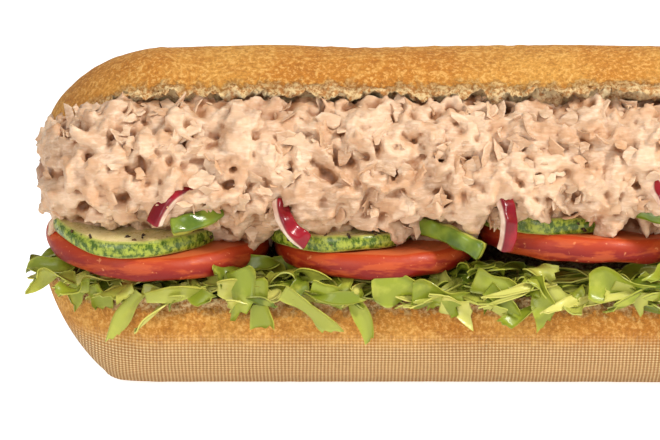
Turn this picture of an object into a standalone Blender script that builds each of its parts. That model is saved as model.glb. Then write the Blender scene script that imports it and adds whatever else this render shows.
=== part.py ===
"""Submarine sandwich: a bread roll cut from the front and left hinged at the back, propped open by shredded
lettuce, tomato, cucumber, green pepper, red onion and a heap of tuna salad.

Metres, +Z up. The roll lies along X on its flat underside and its mouth faces -Y.
"""

import math

import bmesh
import bpy
from mathutils import Matrix, Vector, noise

MM = 0.001
CLEARANCE = 0.3 * MM

# The roll, closed: 286 long, 72 wide and about 56 high.
ROLL_LENGTH = 286 * MM
ROLL_HALF_WIDTH = 36 * MM
END_REACH = 34 * MM  # length of each rounded end in plan
END_POWER = 1.6
KEEL_REACH = 23 * MM  # length over which the underside rises to each tip
KEEL_POWER = 1.4
SWELL = 0.02  # unevenness of the baked roll, as a share of its size
SWELL_SPACING = 55 * MM

# Lower half: its cut face leans a little towards the mouth.
CUT_FRONT_HEIGHT = 28 * MM
CUT_SLOPE = math.tan(math.radians(5))
KEEL_FLAT = 2 * MM  # depth cut off the round underside, which leaves the flat it rests on
LOWER_POWER = 2.6

# Upper half: a dome tipped back about the hinge.
DOME_HEIGHT = 28 * MM
DOME_POWER = 2.4
MOUTH_ANGLE = math.radians(38.5)
DOME_CENTRE = Vector((0, -0.8 * MM, 61.9 * MM))

# The uncut crust at the back, folded where the roll opens.
HINGE_CENTRE = Vector((0, 31 * MM, 36.4 * MM))
HINGE_HALF_WIDTH = 7.5 * MM
HINGE_HALF_HEIGHT = 13.4 * MM
HINGE_END_GAP = 19 * MM  # the cut runs round both tips, so the hinge stops short of them
HINGE_REACH = 24 * MM

# Bed of lettuce that the tomato slices lie on: crowned at BED_CREST_Y, lower at the mouth and at the hinge.
BED_CREST_Y = -12 * MM
BED_HALF_DEPTH = 31 * MM
BED_FRONT = 33.2 * MM
BED_CREST = 35.2 * MM
BED_BACK = 34.6 * MM
BED_MOUND_X = 18 * MM
BED_MOUND_WIDTH = 38 * MM
BED_MOUND_FRONT = 3.2 * MM
BED_MOUND_CREST = 1.8 * MM
BED_END_RISE = 4.5 * MM

TOMATO_THICKNESS = 6.8 * MM
TOMATO_LOBES = 5
CUCUMBER_THICKNESS = 4.6 * MM
# Each slice: centre x, centre y, radius, and how far its left edge is lifted on to the slice before it.
TOMATOES = [
    (-110 * MM, -11.5 * MM, 32.1 * MM, 0),
    (-47.3 * MM, -12.5 * MM, 29.7 * MM, 0),
    (11.6 * MM, -11 * MM, 31.3 * MM, 4.3 * MM),
    (71 * MM, -12.5 * MM, 29.5 * MM, 4.2 * MM),
    (115.3 * MM, -14.8 * MM, 26.9 * MM, 9.4 * MM),
]
CUCUMBERS = [
    (-115.8 * MM, -19.2 * MM, 24 * MM),
    (-57.6 * MM, -17.3 * MM, 21.2 * MM),
    (0.8 * MM, -16 * MM, 22 * MM),
    (56 * MM, -19 * MM, 21.4 * MM),
    (107 * MM, -18.5 * MM, 22.2 * MM),
]

# Each strip: start, end, and how far its middle bows, all (x, y, z) in millimetres, then the way its skin faces.
PEPPER_WIDTH = 4.9 * MM
PEPPER_THICKNESS = 4.2 * MM
PEPPERS = [
    ((-104.8, -42, 49.3), (-90.6, -27.5, 54.2), (3.4, -3.2, 0), (0.5, -0.8, 0.5)),
    ((-37, -27, 48), (-18.8, -44, 42.6), (1, -2.5, 0.5), (-0.75, -1, 0.15)),
    ((9.5, -26.5, 55.4), (44, -40, 48.4), (1.5, -3, 0.5), (-0.3, -1, 0.25)),
    ((67, -41, 46), (84, -29.5, 51), (3.4, -3.4, 0), (0.5, -1, 0.4)),
    ((113, -29, 56.6), (134, -39, 48.4), (2, -4, 1), (-0.3, -1, 0.2)),
]
ONION_WIDTH = 4.4 * MM
ONION_THICKNESS = 3.2 * MM
ONIONS = [
    ((-109.4, -43, 50), (-96.6, -39.6, 61.6), (-1.8, -1.4, 1.8), (-0.55, -1, 0.55)),
    ((-74.5, -40, 56), (-67.4, -43.2, 45.2), (-1.6, -2.4, 0), (-0.5, -1, 0.1)),
    ((-14.2, -40.5, 59.5), (-12.6, -45, 43.4), (1.8, -2.6, 0.5), (0.3, -1, 0.1)),
    ((29.5, -40.5, 60.6), (37, -44.4, 52.6), (-2, -2, 0.8), (-0.4, -1, 0.2)),
    ((88, -40, 59), (93.5, -43.2, 48.5), (2.4, -2.2, 0.6), (0.4, -1, 0.15)),
    ((106, -41.4, 51), (97.5, -37.6, 62), (3, -2.8, 2.4), (0.5, -1, 0.5)),
]
STRIP_STEPS = 6

# Heap of tuna salad, between the slices and the upper half.
TUNA_HALF_LENGTH = 144 * MM
TUNA_CENTRE = Vector((0, -15.5 * MM, 60 * MM))
TUNA_HALF_DEPTH = 26.5 * MM
TUNA_HALF_HEIGHT = 19.5 * MM
TUNA_LEAN = math.radians(14)
TUNA_POWER = 2.7
TUNA_REACH = 26 * MM
TUNA_LUMP = 2.6 * MM
TUNA_LUMP_SPACING = 13 * MM

# Shredded lettuce: a bed with a ragged fringe that hangs over the lower half's front edge.
LETTUCE_HALF_LENGTH = 150 * MM
LETTUCE_REACH = 38 * MM
LETTUCE_POWER = 1.9
LETTUCE_TIP_HEIGHT = 34 * MM
LETTUCE_TUCK_X = 104 * MM  # extra shreds below the tomato slice that lies highest
LETTUCE_TUCK_WIDTH = 22 * MM
LETTUCE_TUCK = 6.5 * MM
LETTUCE_BACK_Y = 20 * MM
LETTUCE_FRONT_Y = -42.5 * MM
FRINGE_INNER_Y = -36.9 * MM
FRINGE_OUTER_Y = -40.6 * MM
FRINGE_DROP = 5.5 * MM
FRINGE_RAGGED = 6 * MM
FRINGE_SPACING = 9 * MM

# The fillings reach further forward than the hinge does back: this puts the origin at the middle of both.
ORIGIN_SHIFT = Vector((0, 4.5 * MM, 0))


def clear_scene():
    for obj in list(bpy.data.objects):
        bpy.data.objects.remove(obj, do_unlink=True)


def material(name, colour, roughness):
    made = bpy.data.materials.new(name)
    made.use_nodes = True
    shader = made.node_tree.nodes["Principled BSDF"]
    shader.inputs["Base Color"].default_value = (*colour, 1)
    shader.inputs["Roughness"].default_value = roughness
    shader.inputs["Metallic"].default_value = 0
    return made


def object_from(name, bm):
    """An object from a bmesh, with its doubled points merged and its faces pointing out."""
    bmesh.ops.remove_doubles(bm, verts=bm.verts, dist=0.01 * MM)
    bmesh.ops.recalc_face_normals(bm, faces=bm.faces)
    mesh = bpy.data.meshes.new(name)
    bm.to_mesh(mesh)
    bm.free()
    return bpy.data.objects.new(name, mesh)


def superellipse(angle, power):
    """Cosine and sine of an angle, squared off by a power over 2."""
    c, s = math.cos(angle), math.sin(angle)
    return (
        math.copysign(abs(c) ** (2 / power), c),
        math.copysign(abs(s) ** (2 / power), s),
    )


def end_fullness(x, half_length, reach, power):
    """1 along the middle of a long body, falling to 0 at its tips."""
    t = (abs(x) - (half_length - reach)) / reach
    t = min(max(t, 0), 1)
    return (1 - t**power) ** (1 / power)


def stations(half_length, reach, end_steps, middle_steps):
    """X positions of sections from tip to tip, closer together in the rounded ends."""
    straight = half_length - reach
    end = [
        straight + reach * math.sin(math.pi / 2 * k / end_steps)
        for k in range(1, end_steps + 1)
    ]
    middle = [straight * (2 * k / middle_steps - 1) for k in range(middle_steps + 1)]
    return [-x for x in reversed(end)] + middle + end


def swell(x, seed):
    """A slow random unevenness along the roll."""
    return 1 + SWELL * noise.noise(Vector((x / SWELL_SPACING, seed, 0)))


def loft(name, rings):
    """A closed skin over rings of equal count, whose first and last ring are each gathered into one point."""
    bm = bmesh.new()
    rows = [[bm.verts.new(p) for p in ring] for ring in rings]
    count = len(rows[0])
    for row, after in zip(rows, rows[1:]):
        for k in range(count):
            n = (k + 1) % count
            bm.faces.new((row[k], row[n], after[n], after[k]))
    return object_from(name, bm)


def cut_height(y):
    """Height of the lower half's cut face."""
    return CUT_FRONT_HEIGHT + CUT_SLOPE * (y + ROLL_HALF_WIDTH)


def lower_half(extra=0):
    """The roll's lower half: a round keel with a flat underside, closed above by the leaning cut face."""
    rings = []
    arc_points = 16
    half_length = ROLL_LENGTH / 2 + extra
    for x in stations(half_length, END_REACH, 6, 18):
        full = end_fullness(x, half_length, END_REACH, END_POWER)
        width = full * (ROLL_HALF_WIDTH * swell(x, 1) + extra)
        depth = end_fullness(x, half_length, KEEL_REACH, KEEL_POWER)
        ring = []
        for k in range(arc_points + 1):
            c, s = superellipse(math.pi * k / arc_points, LOWER_POWER)
            y = -width * c
            top = cut_height(y)
            z = top - (top + KEEL_FLAT) * depth * s
            ring.append((x, y, max(z, 0) + extra * (1 - 2 * s) * full))
        rings.append(ring)
    return loft("lower_half", rings)


def upper_half(extra=0):
    """The roll's upper half: a dome on a flat cut face, tipped back by the mouth's angle."""
    tip_back = Matrix.Rotation(-MOUTH_ANGLE, 3, "X")
    rings = []
    arc_points = 16
    half_length = ROLL_LENGTH / 2 + extra
    for x in stations(half_length, END_REACH, 6, 18):
        full = end_fullness(x, half_length, END_REACH, END_POWER)
        width = full * (ROLL_HALF_WIDTH * swell(x, 5) + extra)
        height = math.sqrt(full) * (DOME_HEIGHT * swell(x, 9) + extra)
        ring = []
        for k in range(arc_points + 1):
            c, s = superellipse(math.pi * k / arc_points, DOME_POWER)
            local = Vector((x, -width * c, height * s - extra * full))
            ring.append(DOME_CENTRE + tip_back @ local)
        rings.append(ring)
    return loft("upper_half", rings)


def hinge(extra=0):
    """The fold of crust and crumb that still joins the two halves along the back."""
    rings = []
    points = 14
    half_length = ROLL_LENGTH / 2 - HINGE_END_GAP + extra
    for x in stations(half_length, HINGE_REACH, 4, 16):
        full = end_fullness(x, half_length, HINGE_REACH, 2)
        plan = end_fullness(x, ROLL_LENGTH / 2, END_REACH, END_POWER)
        ring = []
        for k in range(points):
            angle = 2 * math.pi * k / points
            y = HINGE_CENTRE.y * plan
            y += (HINGE_HALF_WIDTH + extra) * full * math.cos(angle)
            z = HINGE_CENTRE.z + (HINGE_HALF_HEIGHT + extra) * full * math.sin(angle)
            ring.append((x, y, z))
        rings.append(ring)
    return loft("hinge", rings)


def boolean(obj, operation, other):
    """Applies a Boolean with other, which is then removed."""
    for one in (obj, other):
        if one.name not in bpy.context.scene.collection.all_objects:
            bpy.context.scene.collection.objects.link(one)
    step = obj.modifiers.new("join", "BOOLEAN")
    step.operation = operation
    step.solver = "EXACT"
    step.object = other
    graph = bpy.context.evaluated_depsgraph_get()
    made = bpy.data.meshes.new_from_object(obj.evaluated_get(graph))
    obj.modifiers.clear()
    bm = bmesh.new()
    bm.from_mesh(made)
    bmesh.ops.dissolve_degenerate(bm, edges=bm.edges, dist=0.002 * MM)
    bm.to_mesh(made)
    bm.free()
    obj.data = made
    bpy.data.objects.remove(other, do_unlink=True)
    return obj


def keep_largest_body(obj):
    """Deletes the crumbs that cuts can leave beside the piece itself."""
    bm = bmesh.new()
    bm.from_mesh(obj.data)
    unseen, bodies = set(bm.verts), []
    while unseen:
        body, edge = set(), [unseen.pop()]
        while edge:
            vert = edge.pop()
            body.add(vert)
            near = {e.other_vert(vert) for e in vert.link_edges} & unseen
            unseen -= near
            edge.extend(near)
        bodies.append(body)
    bodies.sort(key=len)
    crumbs = [v for body in bodies[:-1] for v in body]
    bmesh.ops.delete(bm, geom=crumbs, context="VERTS")
    bm.to_mesh(obj.data)
    bm.free()
    return obj


def bread_roll(extra=0):
    """Both halves and the hinge as one piece of bread."""
    roll = boolean(lower_half(extra), "UNION", hinge(extra))
    roll = boolean(roll, "UNION", upper_half(extra))
    roll.name = "bread_roll"
    return roll


def bed_height(x, y):
    """Top of the lettuce bed, on which the tomato slices lie."""
    mound = math.exp(-(((x - BED_MOUND_X) / BED_MOUND_WIDTH) ** 2))
    crest = BED_CREST + BED_MOUND_CREST * mound
    crest += BED_END_RISE * (abs(x) / (ROLL_LENGTH / 2)) ** 8
    t = (y - BED_CREST_Y) / BED_HALF_DEPTH
    edge = BED_FRONT + BED_MOUND_FRONT * mound if t < 0 else BED_BACK
    return crest + (edge - crest) * t * t


def turned_disc(radius, thickness, lobes, lobe_depth, steps):
    """A slice with a rounded rim, turned about Z on its lower face, with a slightly lobed outline."""
    rim = thickness * 0.28
    profile = [
        (0, 0),
        (radius * 0.55, 0),
        (radius - rim, 0),
        (radius, thickness * 0.5),
        (radius - rim, thickness),
        (radius * 0.55, thickness),
        (0, thickness),
    ]
    bm = bmesh.new()
    verts = [bm.verts.new((r, 0, z)) for r, z in profile]
    edges = [bm.edges.new(pair) for pair in zip(verts, verts[1:])]
    bmesh.ops.spin(
        bm,
        geom=verts + edges,
        cent=(0, 0, 0),
        axis=(0, 0, 1),
        angle=math.tau,
        steps=steps,
        use_merge=True,
    )
    bmesh.ops.remove_doubles(bm, verts=bm.verts, dist=0.01 * MM)
    for vert in bm.verts:
        angle = math.atan2(vert.co.y, vert.co.x)
        vert.co.xy *= 1 + lobe_depth * math.cos(lobes * angle + radius / MM)
    return bm


def tomato_lift(index, x):
    """How far a tomato slice is raised at x because its left edge lies on the slice before it."""
    centre, _, radius, lift = TOMATOES[index]
    share = (centre + radius - x) / (2 * radius)
    return lift * min(max(share, 0), 1)


def tomato_slice(index, extra=0):
    x, y, radius, _ = TOMATOES[index]
    thick = TOMATO_THICKNESS + 2 * extra
    bm = turned_disc(radius + extra, thick, TOMATO_LOBES, 0.012, 20)
    for vert in bm.verts:
        vert.co.x += x
        vert.co.y += y
        vert.co.z += bed_height(vert.co.x, vert.co.y) + CLEARANCE - extra
        vert.co.z += tomato_lift(index, vert.co.x)
    return object_from(f"tomato_slice_{index + 1}", bm)


def cucumber_slice(index, extra=0):
    x, y, radius = CUCUMBERS[index]
    thick = CUCUMBER_THICKNESS + 2 * extra
    bm = turned_disc(radius + extra, thick, 3, 0.008, 18)
    for vert in bm.verts:
        vert.co.x += x
        vert.co.y += y
        vert.co.z += bed_height(vert.co.x, vert.co.y) + TOMATO_THICKNESS
        vert.co.z += 2 * CLEARANCE - extra + tomato_lift(index, vert.co.x)
    return object_from(f"cucumber_slice_{index + 1}", bm)


def bent_strip(name, strip, width, thickness, extra=0):
    """A bar bowed along its length, whose skin is the face turned towards the strip's facing direction."""
    start, end, bow, facing = (Vector(v) for v in strip)
    start, end, bow = start * MM, end * MM, bow * MM
    ahead = (end - start).normalized()
    start, end = start - ahead * extra, end + ahead * extra
    half_width, half_thick = width / 2 + extra, thickness / 2 + extra
    corner = 0.62
    outline = [(-1, -corner), (-1, corner), (-corner, 1), (corner, 1)]
    outline += [(1, corner), (1, -corner), (corner, -1), (-corner, -1)]
    bm = bmesh.new()
    rows = []
    for k in range(STRIP_STEPS + 1):
        t = k / STRIP_STEPS
        centre = start.lerp(end, t) + bow * 4 * t * (1 - t)
        tangent = (end - start + bow * 4 * (1 - 2 * t)).normalized()
        out = (facing - tangent * facing.dot(tangent)).normalized()
        across = tangent.cross(out)
        ring = [centre + across * (u * half_width) + out * (v * half_thick) for u, v in outline]
        rows.append([bm.verts.new(p) for p in ring])
    for row, after in zip(rows, rows[1:]):
        for k in range(len(row)):
            n = (k + 1) % len(row)
            bm.faces.new((row[k], row[n], after[n], after[k]))
    bm.faces.new(rows[0])
    bm.faces.new(rows[-1])
    return object_from(name, bm)


def strips(extra=0):
    """Every pepper and onion strip."""
    made = []
    for k, strip in enumerate(PEPPERS):
        name = f"green_pepper_strip_{k + 1}"
        made.append(bent_strip(name, strip, PEPPER_WIDTH, PEPPER_THICKNESS, extra))
    for k, strip in enumerate(ONIONS):
        name = f"red_onion_strip_{k + 1}"
        made.append(bent_strip(name, strip, ONION_WIDTH, ONION_THICKNESS, extra))
    return made


def slices(extra=0):
    """Every tomato and cucumber slice."""
    made = [tomato_slice(k, extra) for k in range(len(TOMATOES))]
    return made + [cucumber_slice(k, extra) for k in range(len(CUCUMBERS))]


def tuna_heap():
    """The heap of salad as one lumpy body, before its neighbours are cut out of it."""
    rings = []
    points = 16
    lean = Matrix.Rotation(-TUNA_LEAN, 3, "X")
    for x in stations(TUNA_HALF_LENGTH, TUNA_REACH, 4, 17):
        full = end_fullness(x, TUNA_HALF_LENGTH, TUNA_REACH, 1.9)
        ring = []
        for k in range(points):
            c, s = superellipse(math.tau * k / points, TUNA_POWER)
            outward = Vector((0, TUNA_HALF_DEPTH * c, TUNA_HALF_HEIGHT * s)) * full
            point = TUNA_CENTRE + lean @ outward + Vector((x, 0, 0))
            lump = noise.noise(point / TUNA_LUMP_SPACING) * TUNA_LUMP * full
            if outward.length > 0:
                point += (lean @ outward).normalized() * lump
            ring.append(point)
        rings.append(ring)
    return loft("tuna_salad", rings)


def lettuce_bundle(extra=0):
    """The bed and its hanging fringe as one body with an uneven edge, before its neighbours are cut out of it."""
    rings = []
    for x in stations(LETTUCE_HALF_LENGTH, LETTUCE_REACH, 5, 28):
        full = end_fullness(x, LETTUCE_HALF_LENGTH, LETTUCE_REACH, LETTUCE_POWER)
        ragged = noise.noise(Vector((x / FRINGE_SPACING, 3.7, 0)))
        jut = 1.4 * MM * noise.noise(Vector((x / FRINGE_SPACING, 8.1, 0)))
        front, back = LETTUCE_FRONT_Y * full, LETTUCE_BACK_Y * full
        outer = (FRINGE_OUTER_Y + jut) * full
        inner = FRINGE_INNER_Y * full
        drop = max(FRINGE_DROP + ragged * FRINGE_RAGGED, 2.5 * MM)
        lip = cut_height(outer) - drop
        under = cut_height(0) - 1 * MM
        tuck = LETTUCE_TUCK * math.exp(-(((x - LETTUCE_TUCK_X) / LETTUCE_TUCK_WIDTH) ** 4))
        tuck += 2 * extra
        top = [(y, bed_height(x, y) + tuck) for y in (front * 0.9, front * 0.5, 0, back)]
        ring = [(back, under), (inner * 0.5, under), (inner, cut_height(inner) - 0.2 * MM)]
        ring += [(inner, lip + 1.2 * MM), ((inner + outer) / 2, lip)]
        ring += [(outer, lip + 1.4 * MM), (outer, cut_height(outer) + 0.5 * MM)]
        tip = LETTUCE_TIP_HEIGHT
        rings.append([(x, y, tip + (z - tip) * math.sqrt(full)) for y, z in ring + top])
    return loft("lettuce_shreds", rings)


def put_in(collection, obj, colour_of):
    """Moves a finished part into the collection, closes it and gives it its material and origin."""
    for old in list(obj.users_collection):
        old.objects.unlink(obj)
    collection.objects.link(obj)
    obj.data.transform(Matrix.Translation(ORIGIN_SHIFT))
    obj.data.name = obj.name
    obj.data.materials.clear()
    obj.data.materials.append(colour_of)


def main():
    clear_scene()
    food = bpy.data.collections.new("submarine_sandwich")
    bpy.context.scene.collection.children.link(food)

    roll = bread_roll()
    lettuce = lettuce_bundle()
    for cutter in [bread_roll(CLEARANCE)] + [tomato_slice(k, CLEARANCE) for k in range(len(TOMATOES))]:
        lettuce = boolean(lettuce, "DIFFERENCE", cutter)
    tuna = tuna_heap()
    cutters = [bread_roll(CLEARANCE), lettuce_bundle(CLEARANCE)]
    for cutter in cutters + slices(CLEARANCE) + strips(CLEARANCE):
        tuna = boolean(tuna, "DIFFERENCE", cutter)

    put_in(food, roll, material("bread", (0.69, 0.34, 0.09), 0.6))
    put_in(food, keep_largest_body(lettuce), material("lettuce", (0.42, 0.45, 0.08), 0.45))
    put_in(food, keep_largest_body(tuna), material("tuna", (0.72, 0.47, 0.26), 0.6))
    for k in range(len(TOMATOES)):
        put_in(food, tomato_slice(k), material(f"tomato_{k + 1}", (0.5, 0.05, 0.02), 0.3))
    for k in range(len(CUCUMBERS)):
        put_in(food, cucumber_slice(k), material(f"cucumber_{k + 1}", (0.6, 0.56, 0.2), 0.35))
    for k, strip in enumerate(strips()):
        pepper = k < len(PEPPERS)
        colour = (0.1, 0.22, 0.03) if pepper else (0.45, 0.05, 0.08)
        put_in(food, strip, material(f"strip_{k + 1}", colour, 0.3))


main()
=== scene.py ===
"""How the submarine sandwich looks: a crusty roll, hinged at the back, with its mouth towards -Y.

Every section builds one part of the sandwich, from the roll outwards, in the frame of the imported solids.
"""

import math

import bmesh
import bpy
import numpy as np
from mathutils import Matrix, Vector, noise


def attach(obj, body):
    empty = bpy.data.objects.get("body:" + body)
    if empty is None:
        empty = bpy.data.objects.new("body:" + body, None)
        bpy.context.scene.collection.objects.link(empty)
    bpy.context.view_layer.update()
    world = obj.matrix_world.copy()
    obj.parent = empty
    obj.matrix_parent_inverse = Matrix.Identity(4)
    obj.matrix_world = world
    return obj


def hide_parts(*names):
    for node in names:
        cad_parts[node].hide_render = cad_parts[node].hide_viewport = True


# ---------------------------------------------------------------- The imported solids
# They fix every position. The looks are built in the same metres, with the roll along X and the origin
# below its middle.
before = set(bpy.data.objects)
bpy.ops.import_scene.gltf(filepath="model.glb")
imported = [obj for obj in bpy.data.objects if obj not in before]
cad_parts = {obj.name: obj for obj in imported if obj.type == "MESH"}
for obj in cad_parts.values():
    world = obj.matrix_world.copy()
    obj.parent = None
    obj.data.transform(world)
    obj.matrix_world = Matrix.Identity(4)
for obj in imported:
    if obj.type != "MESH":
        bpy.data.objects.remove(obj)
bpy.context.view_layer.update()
MM = 0.001
SHIFT = np.array([0, 4.5 * MM, 0])
random = np.random.default_rng(11)


# ---------------------------------------------------------------- The roll's two halves
# Each half is a skin over many sections, so that the crust can swell and crease and the torn edge of the
# crumb is real. The same lengths and powers shape the solid.
class Value:
    """A shader socket that can be used in ordinary arithmetic."""

    def __init__(self, tree, socket):
        self.tree, self.socket = tree, socket

    def node(self, kind, output, inputs, **settings):
        """One output of a new node, whose inputs are sockets or constants."""
        made = self.tree.nodes.new("ShaderNode" + kind)
        for key, value in settings.items():
            setattr(made, key, value)
        for key, value in inputs.items():
            if isinstance(value, Value):
                self.tree.links.new(value.socket, made.inputs[key])
            else:
                made.inputs[key].default_value = value
        return Value(self.tree, made.outputs[output])

    def maths(self, operation, a, b=0.0):
        return self.node("Math", 0, {0: a, 1: b}, operation=operation)

    def __add__(self, other):
        return self.maths("ADD", self, other)

    def __sub__(self, other):
        return self.maths("SUBTRACT", self, other)

    def __rsub__(self, other):
        return self.maths("SUBTRACT", other, self)

    def __mul__(self, other):
        return self.maths("MULTIPLY", self, other)

    def __truediv__(self, other):
        return self.maths("DIVIDE", self, other)

    def __rtruediv__(self, other):
        return self.maths("DIVIDE", other, self)

    def __pow__(self, other):
        return self.maths("POWER", self, other)

    __radd__, __rmul__ = __add__, __mul__

    def sine(self):
        return self.maths("SINE", self)

    def magnitude(self):
        return self.maths("ABSOLUTE", self)

    def between(self, low, high):
        """0 below low, 1 above high, smooth between."""
        inputs = {"Value": self, "From Min": low, "From Max": high}
        return self.node("MapRange", 0, inputs, interpolation_type="SMOOTHSTEP")

    def mix(self, a, b):
        """Colour a where this is 0 and colour b where it is 1."""
        return self.node("Mix", 2, {0: self, 6: a, 7: b}, data_type="RGBA")


def srgb(red, green, blue):
    """A linear colour from the usual 0 to 255 values."""
    values = [c / 255 for c in (red, green, blue)]
    linear = [c / 12.92 if c < 0.04045 else ((c + 0.055) / 1.055) ** 2.4 for c in values]
    return (*linear, 1)


class Look:
    """A Principled material, and the values that its pattern starts from."""

    def __init__(self, name, roughness=0.5, scatter=0.0, coat=0.0, radius=(1, 0.5, 0.25)):
        self.material = bpy.data.materials.new(name)
        self.material.use_nodes = True
        self.tree = self.material.node_tree
        self.shader = self.tree.nodes["Principled BSDF"]
        self.shader.inputs["Roughness"].default_value = roughness
        self.shader.inputs["Specular IOR Level"].default_value = 0.35
        self.shader.inputs["Coat Weight"].default_value = coat
        self.shader.inputs["Coat Roughness"].default_value = 0.12
        self.shader.inputs["Subsurface Weight"].default_value = scatter
        self.shader.inputs["Subsurface Radius"].default_value = radius
        self.shader.inputs["Subsurface Scale"].default_value = 3 * MM
        self.value = Value(self.tree, None)
        self.place = self.value.node("TexCoord", "Object", {})

    def attribute(self, name, output="Fac"):
        return self.value.node("Attribute", output, {}, attribute_name=name)

    def noise(self, size, detail=3.0, vector=None, output="Fac", rough=0.5):
        """Random lumps of about that size in metres."""
        inputs = {"Vector": vector or self.place, "Scale": 0.6 / size}
        inputs.update({"Detail": detail, "Roughness": rough})
        return self.value.node("TexNoise", output, inputs)

    def stretched(self, vector, x, y, z):
        """A coordinate scaled along each axis."""
        inputs = {0: vector, 1: (x, y, z)}
        return self.value.node("VectorMath", 0, inputs, operation="MULTIPLY")

    def apart(self, vector):
        """The x, y and z of a vector."""
        made = self.tree.nodes.new("ShaderNodeSeparateXYZ")
        self.tree.links.new(vector.socket, made.inputs[0])
        return [Value(self.tree, s) for s in made.outputs]

    def colour(self, value):
        self.tree.links.new(value.socket, self.shader.inputs["Base Color"])

    def finish(self, roughness):
        self.tree.links.new(roughness.socket, self.shader.inputs["Roughness"])

    def bump(self, height, depth):
        """Relief from a height of 0 to 1, depth metres high."""
        made = self.value.node("Bump", 0, {"Strength": 1.0, "Distance": depth, "Height": height})
        self.tree.links.new(made.socket, self.shader.inputs["Normal"])


def lumps(points, size, seed=0.0):
    """Random values between about -0.5 and 0.5 at points, changing over that size."""
    offset = Vector((seed * 17.3, seed * 5.1, seed * 9.7))
    scale = 1 / size if np.ndim(size) == 0 else 1 / np.array(size)
    return np.array([noise.noise(Vector(p) + offset) for p in points * scale])


def add_values(mesh, name, data):
    """One number or one vector for each point of a mesh."""
    kind = "FLOAT" if np.ndim(data) == 1 else "FLOAT_VECTOR"
    layer = mesh.attributes.new(name, kind, "POINT")
    layer.data.foreach_set("value" if kind == "FLOAT" else "vector", np.ravel(data).astype(np.float32))


def mesh_object(name, verts, faces, look, values=None, smooth=True):
    """An object from points and faces, with one attribute for each entry of values."""
    mesh = bpy.data.meshes.new(name)
    corners = faces.tolist() if isinstance(faces, np.ndarray) else faces
    mesh.from_pydata(np.asarray(verts).tolist(), [], corners)
    for key, data in (values or {}).items():
        add_values(mesh, key, data)
    mesh.polygons.foreach_set("use_smooth", np.full(len(mesh.polygons), smooth))
    mesh.materials.append(look.material)
    made = bpy.data.objects.new(name, mesh)
    bpy.context.scene.collection.objects.link(made)
    return made


def grid(rows, cols, wrap):
    """Quads over a grid of points stored row by row; wrap joins each row's last point to its first."""
    row, col = np.meshgrid(np.arange(rows - 1), np.arange(cols if wrap else cols - 1), indexing="ij")
    after = (col + 1) % cols
    corners = [row * cols + col, row * cols + after]
    corners += [(row + 1) * cols + after, (row + 1) * cols + col]
    return np.stack(corners, -1).reshape(-1, 4)


def place(obj, replaced):
    """The finished piece stands for those solids, which it hides."""
    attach(obj, "root")
    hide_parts(*replaced)
    return obj


HALF_LENGTH, HALF_WIDTH = 143 * MM, 36 * MM
END_REACH, END_POWER = 34 * MM, 1.6
KEEL_REACH, KEEL_POWER = 23 * MM, 1.4
CUT_FRONT_HEIGHT, CUT_SLOPE = 28 * MM, math.radians(5)
DOME_HEIGHT, DOME_POWER, LOWER_POWER = 28 * MM, 2.4, 2.6
MOUTH_ANGLE = math.radians(38.5)
DOME_CENTRE = np.array([0, -0.8 * MM, 61.9 * MM])


def fullness(x, half_length, reach, power):
    """1 along the middle of a long body, falling to 0 at its tips."""
    t = np.clip((np.abs(x) - (half_length - reach)) / reach, 0, 1)
    return (1 - t**power) ** (1 / power)


def stations(half_length, reach, end_steps, middle_steps):
    """X positions of sections from tip to tip, closer together in the rounded ends."""
    straight = half_length - reach
    end = straight + reach * np.sin(np.pi / 2 * np.arange(1, end_steps + 1) / end_steps)
    return np.concatenate([-end[::-1], np.linspace(-straight, straight, middle_steps), end])


def squared(angle, power):
    """Cosine and sine squared off by a power over 2."""
    c, s = np.cos(angle), np.sin(angle)
    return np.sign(c) * np.abs(c) ** (2 / power), np.sign(s) * np.abs(s) ** (2 / power)


def swell(x, seed):
    """The roll's slow unevenness along its length."""
    return 1 + 0.02 * np.array([noise.noise(Vector((v / 0.055, seed, 0))) for v in x])


def cut_height(y):
    """Height of the lower half's cut face."""
    return CUT_FRONT_HEIGHT + math.tan(CUT_SLOPE) * (y + HALF_WIDTH)


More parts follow.
